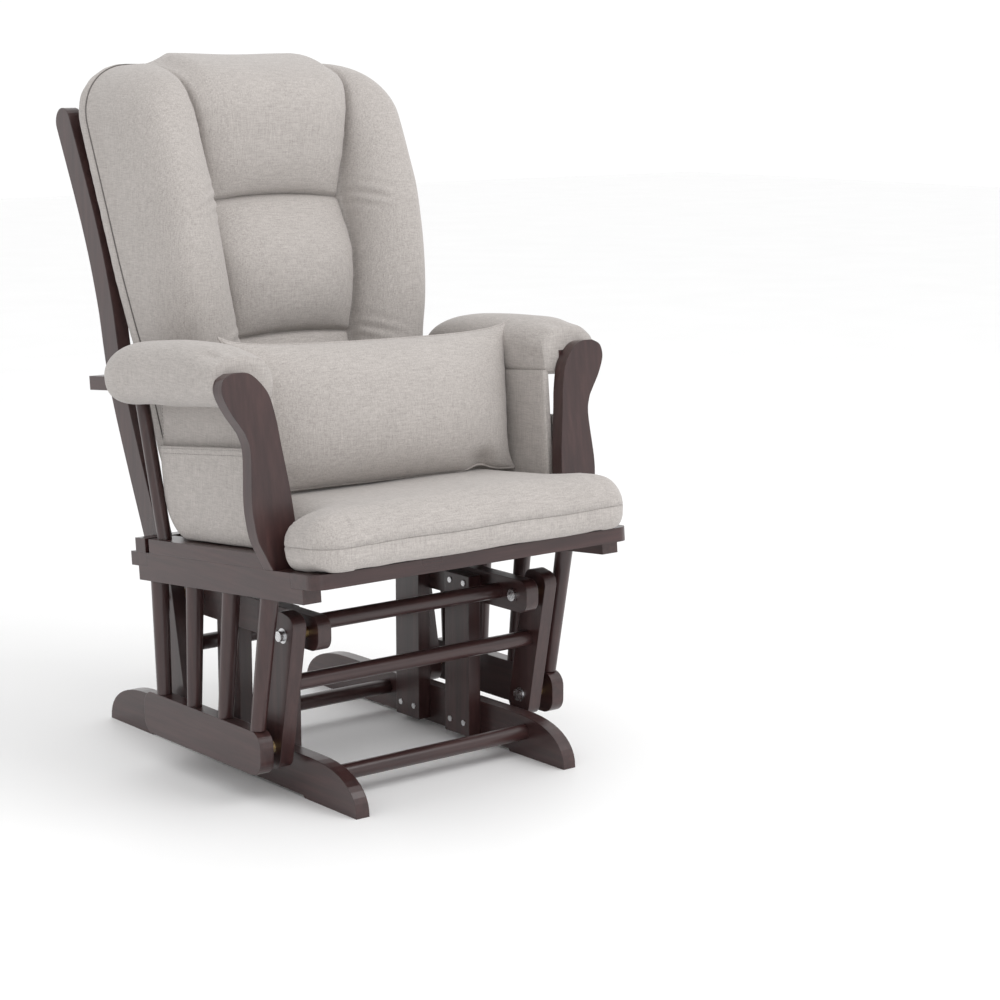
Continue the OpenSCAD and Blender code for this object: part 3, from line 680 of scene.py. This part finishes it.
def stitches(name, path, normal, body, pitch=0.0052, length=0.0034, radius=0.00045):
    """A row of sewn stitches along a path, lying on a surface with the given normals."""
    path, normal = np.asarray(path, float), np.asarray(normal, float)
    if normal.ndim == 1:  # one direction for the whole row
        normal = np.repeat(normal[None], len(path), 0)
    step = np.linalg.norm(np.diff(path, axis=0), axis=1)
    run = np.concatenate([[0], np.cumsum(step)])
    verts, faces = [], []
    sides, stations = 6, (-0.5, -0.3, 0.0, 0.3, 0.5)
    girth = (0.15, 0.8, 1.0, 0.8, 0.15)
    for s in np.arange(pitch / 2, run[-1], pitch):
        p = np.array([np.interp(s, run, path[:, k]) for k in range(3)])
        q = np.array([np.interp(min(s + 0.001, run[-1]), run, path[:, k]) for k in range(3)])
        r = np.array([np.interp(max(s - 0.001, 0), run, path[:, k]) for k in range(3)])
        n = np.array([np.interp(s, run, normal[:, k]) for k in range(3)])
        t = q - r
        t /= np.linalg.norm(t)
        n = n - t * (n @ t)
        n /= np.linalg.norm(n)
        b = np.cross(t, n)
        first = len(verts)
        for place, g in zip(stations, girth):
            for k in range(sides):
                c = 2 * math.pi * k / sides
                around = n * math.cos(c) + b * 1.3 * math.sin(c)
                verts.append(p + t * place * length + radius * g * around)
        last = first + (len(stations) - 1) * sides
        for ring in range(first, last, sides):
            for k in range(sides):
                m = (k + 1) % sides
                faces.append((ring + k, ring + m, ring + sides + m, ring + sides + k))
        faces.append(tuple(first + k for k in range(sides))[::-1])
        faces.append(tuple(last + k for k in range(sides)))
    return make(name, verts, faces, THREAD, body)


# Arm panels and their pockets: across, then fore and aft, then up, in metres.
PANEL_IN, PANEL_OUT = 0.2419, 0.2549
PANEL_FRONT, PANEL_LOW, PANEL_TOP = -0.2330, 0.0222, 0.2330
POCKET_TOP = 0.162


def panel_rear(z):
    """Rear edge of the arm panel at height z: upright, then a wide rounded lower corner."""
    z = np.asarray(z, float)
    r = 0.070
    t = np.clip((PANEL_LOW + r - z) / r, 0, 1)
    edge = curve_through([0.02, 0.10, 0.165, 0.245], [0.050, 0.053, 0.056, 0.052])(z)
    return edge - 0.9 * r * (1 - np.sqrt(1 - t**2))


def make_arm_panel(side, name, node):
    """Thin padded panel that hangs from the arm pad to the rail, with a stitched rear edge."""
    nv, nu = 60, 70
    z = PANEL_LOW + (PANEL_TOP - PANEL_LOW) * (1 - np.cos(np.linspace(0, math.pi, nv + 1))) / 2
    u = (1 - np.cos(np.linspace(0, math.pi, nu + 1))) / 2
    rear = panel_rear(z)
    y = PANEL_FRONT + (rear[:, None] - PANEL_FRONT) * u[None, :]
    zz = np.repeat(z[:, None], nu + 1, 1)
    d = np.minimum(y - PANEL_FRONT, rear[:, None] - y)
    d = np.minimum(d, np.minimum(zz - PANEL_LOW, 0.03 + PANEL_TOP - zz))
    wob = ripple_over(y, zz, 16, 11 + side)
    mid = (PANEL_IN + PANEL_OUT) / 2
    outer = mid + 0.0035 + 0.0027 * dome(d / 0.010) + 0.0007 * wob * dome(d / 0.03)
    inner = mid - 0.0040 - 0.0042 * dome(d / 0.016) - 0.0010 * wob * dome(d / 0.03)
    front = to_world(np.stack([side * outer, y, zz], -1))
    back = to_world(np.stack([side * inner, y, zz], -1))
    panel = shell(name, front, back, 4, straight, CLOTH, "seat")
    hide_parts(node)
    n = to_world(np.array([[side, 0, 0]]))[0] - to_world(np.array([[0.0, 0, 0]]))[0]
    zs = np.linspace(POCKET_TOP + 0.006, PANEL_TOP - 0.012, 40)
    path = np.stack([np.full(40, side * (mid + 0.0063)), panel_rear(zs) - 0.006, zs], 1)
    stitches(name + "_edge_stitch", to_world(path), n, "seat")
    return panel


def make_pocket(side, name, node):
    """Outer sheet of a side pocket, sewn down at its sides and foot and open along a hemmed top."""
    nv, nu = 46, 70
    low, high = PANEL_LOW + 0.001, POCKET_TOP
    z = np.linspace(low, high, nv + 1)
    u = (1 - np.cos(np.linspace(0, math.pi, nu + 1))) / 2
    rear = panel_rear(z) - 0.0005
    y = (PANEL_FRONT + 0.001) + (rear[:, None] - PANEL_FRONT - 0.001) * u[None, :]
    lean = -0.020 * (y + 0.1) * np.linspace(0, 1, nv + 1)[:, None]
    zz = np.repeat(z[:, None], nu + 1, 1) + lean
    d = np.minimum(y - PANEL_FRONT, rear[:, None] - y)
    d = np.minimum(d, zz - PANEL_LOW + 0.004)
    wob = ripple_over(y, zz, 13, 15 + side)
    swell = dome(d / 0.030) * (0.0085 + 0.0016 * wob)
    hem = 0.0009 * (np.abs(zz - lean - (POCKET_TOP - 0.006)) < 0.0062)
    outer = PANEL_OUT + 0.0022 + swell + hem
    inner = PANEL_OUT + swell
    front = to_world(np.stack([side * outer, y, zz], -1))
    back = to_world(np.stack([side * inner, y, zz], -1))
    pocket = shell(name, front, back, 2, straight, CLOTH, "seat")
    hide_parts(node)
    n = np.array([float(side), 0, 0])
    for k, drop in enumerate((0.0035, 0.0110)):
        row = np.interp(POCKET_TOP - drop, z, np.arange(nv + 1))
        j = int(row)
        f = row - j
        line = front[j] * (1 - f) + front[min(j + 1, nv)] * f
        stitches(f"{name}_hem_stitch_{k + 1}", line[2:-2] + n * 0.0002, n, "seat")
    return pocket


make_back_cushion()
make_seat_cushion()
make_pillow()
for side, tag in ((1, "left"), (-1, "right")):
    make_arm_pad(side, f"arm_pad_cover_{tag}", f"arm_pad_{tag}")
    panel = make_arm_panel(side, f"arm_panel_cover_{tag}", f"arm_panel_{tag}")
    make_pocket(side, f"side_pocket_sheet_{tag}", f"side_pocket_{tag}")

# ---------------------------------------------------------------- studio
LENS, AZIMUTH, PITCH = 85.86, math.radians(-38.85), math.radians(10.4)
camera_data = bpy.data.cameras.new("camera")
camera = bpy.data.objects.new("camera", camera_data)
bpy.context.collection.objects.link(camera)
bpy.context.scene.camera = camera
camera_data.sensor_width = 36
camera_data.lens = LENS
behind = Vector((math.sin(AZIMUTH) * math.cos(PITCH), -math.cos(AZIMUTH) * math.cos(PITCH), math.sin(PITCH)))
camera.location = (-2.0483, MID_Y - 2.9526, 1.040)
camera.rotation_mode = "QUATERNION"
camera.rotation_quaternion = (-behind).to_track_quat("-Z", "Y")
camera_data.clip_start, camera_data.clip_end = 0.05, 60

mat, tree, bsdf = nodes_of("pale_floor")
floor_tone = noise_node(tree, scaled_coords(tree, (1, 1, 1)), 3, 2, 0.5)
floor_colour = ramp(tree, floor_tone, [(0.3, (0.94, 0.94, 0.94)), (0.7, (0.96, 0.96, 0.96))])
tree.links.new(floor_colour, bsdf.inputs["Base Color"])
bsdf.inputs["Roughness"].default_value = 0.6
mesh = bpy.data.meshes.new("floor")
REACH = 14
corners = [(-REACH, -REACH, 0), (REACH, -REACH, 0), (REACH, REACH, 0), (-REACH, REACH, 0)]
mesh.from_pydata(corners, [], [(0, 1, 2, 3)])
floor = bpy.data.objects.new("floor", mesh)
mesh.materials.append(mat)
bpy.context.collection.objects.link(floor)

world = bpy.data.worlds.new("studio")
bpy.context.scene.world = world
world.use_nodes = True
world.node_tree.nodes["Background"].inputs[0].default_value = (1, 1, 1, 1)
world.node_tree.nodes["Background"].inputs[1].default_value = 1.03


def area_light(name, place, target, size, power):
    """Square soft box of the given side, aimed at a point."""
    data = bpy.data.lights.new(name, "AREA")
    data.shape = "SQUARE"
    data.size = size
    data.energy = power
    lamp = bpy.data.objects.new(name, data)
    bpy.context.collection.objects.link(lamp)
    lamp.location = place
    lamp.rotation_mode = "QUATERNION"
    lamp.rotation_quaternion = (Vector(target) - Vector(place)).to_track_quat("-Z", "Y")


MIDDLE = (0, 0, 0.5)
area_light("key", (1.1, -2.4, 3.3), MIDDLE, 2.2, 50)
area_light("fill", (-1.6, -3.6, 1.2), MIDDLE, 1.6, 8)

bpy.context.scene.view_settings.view_transform = "Standard"
bpy.context.scene.view_settings.look = "None"
